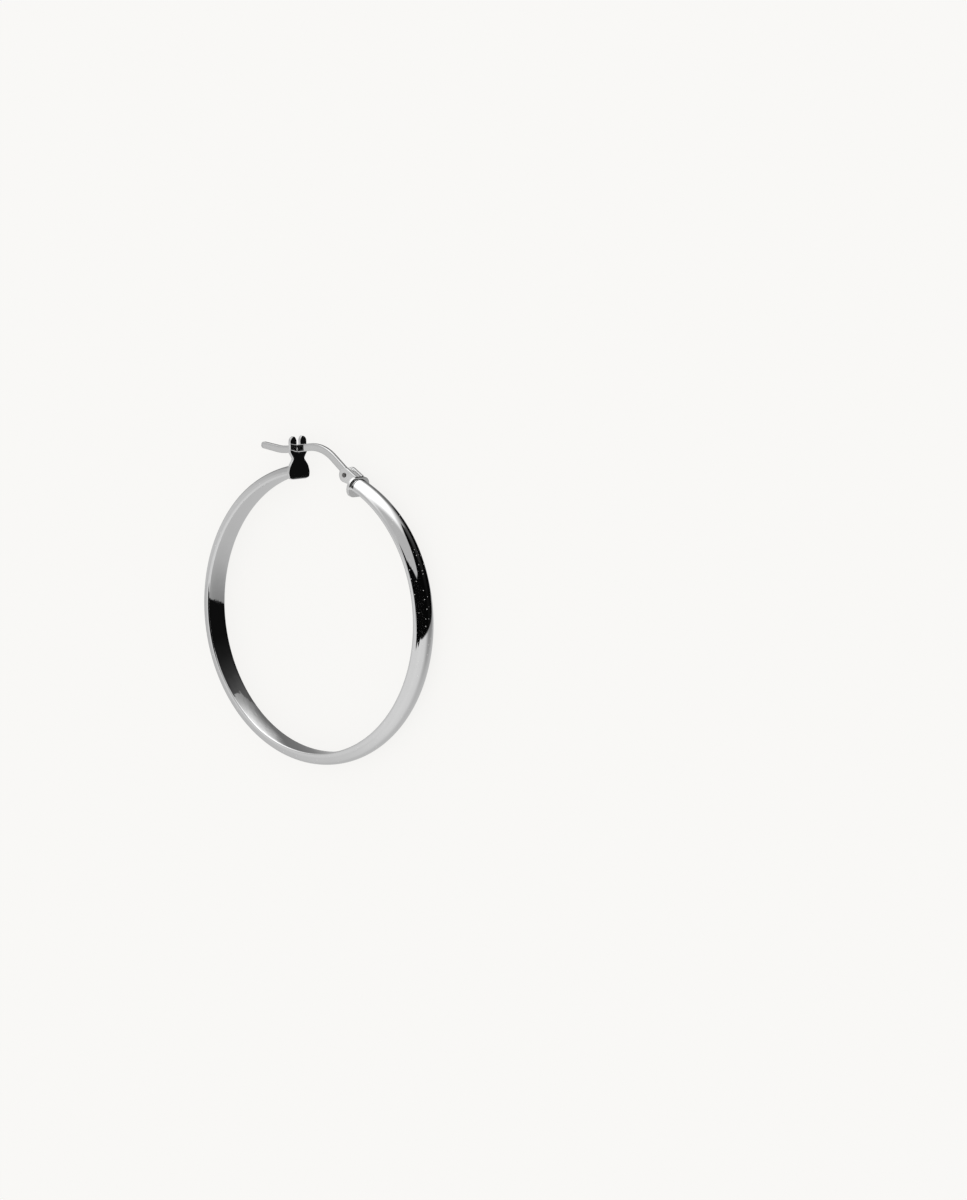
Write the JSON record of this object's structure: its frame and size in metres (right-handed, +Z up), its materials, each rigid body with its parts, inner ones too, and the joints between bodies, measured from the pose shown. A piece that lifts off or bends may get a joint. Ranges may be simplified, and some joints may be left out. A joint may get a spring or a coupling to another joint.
{
  "type": "hinged hoop earring",
  "caption": "Polished silver hoop earring of D-section tube, with a hinged ear wire that closes into a slotted catch plate.",
  "frame": {"origin": "middle of the bottom of the box round the whole earring, on the surface that it lies on", "axes": "+Z up, nearly along the hoop's axis; +Y from the hoop's middle towards the clasp; the ear wire's free end points to -X"},
  "size_m": [0.034, 0.0362, 0.0033],
  "materials": {
    "hoop_silver": "mirror-polished silver with fine wear",
    "wire_silver": "softly polished silver",
    "rivet_silver": "filed silver rivet head"
  },
  "bodies": {
    "hoop": {"hoop": "hoop_silver", "hinge_rivet": "rivet_silver"},
    "ear_wire": {"ear_wire": "wire_silver"}
  },
  "joints": [
    {"name": "wire_hinge", "type": "hinge", "parent": "hoop", "child": "ear_wire", "pos_m": [0.00305, 0.01513, 0.00167], "axis": [0, 0.01, -1], "range_deg": [0, 75]}
  ]
}
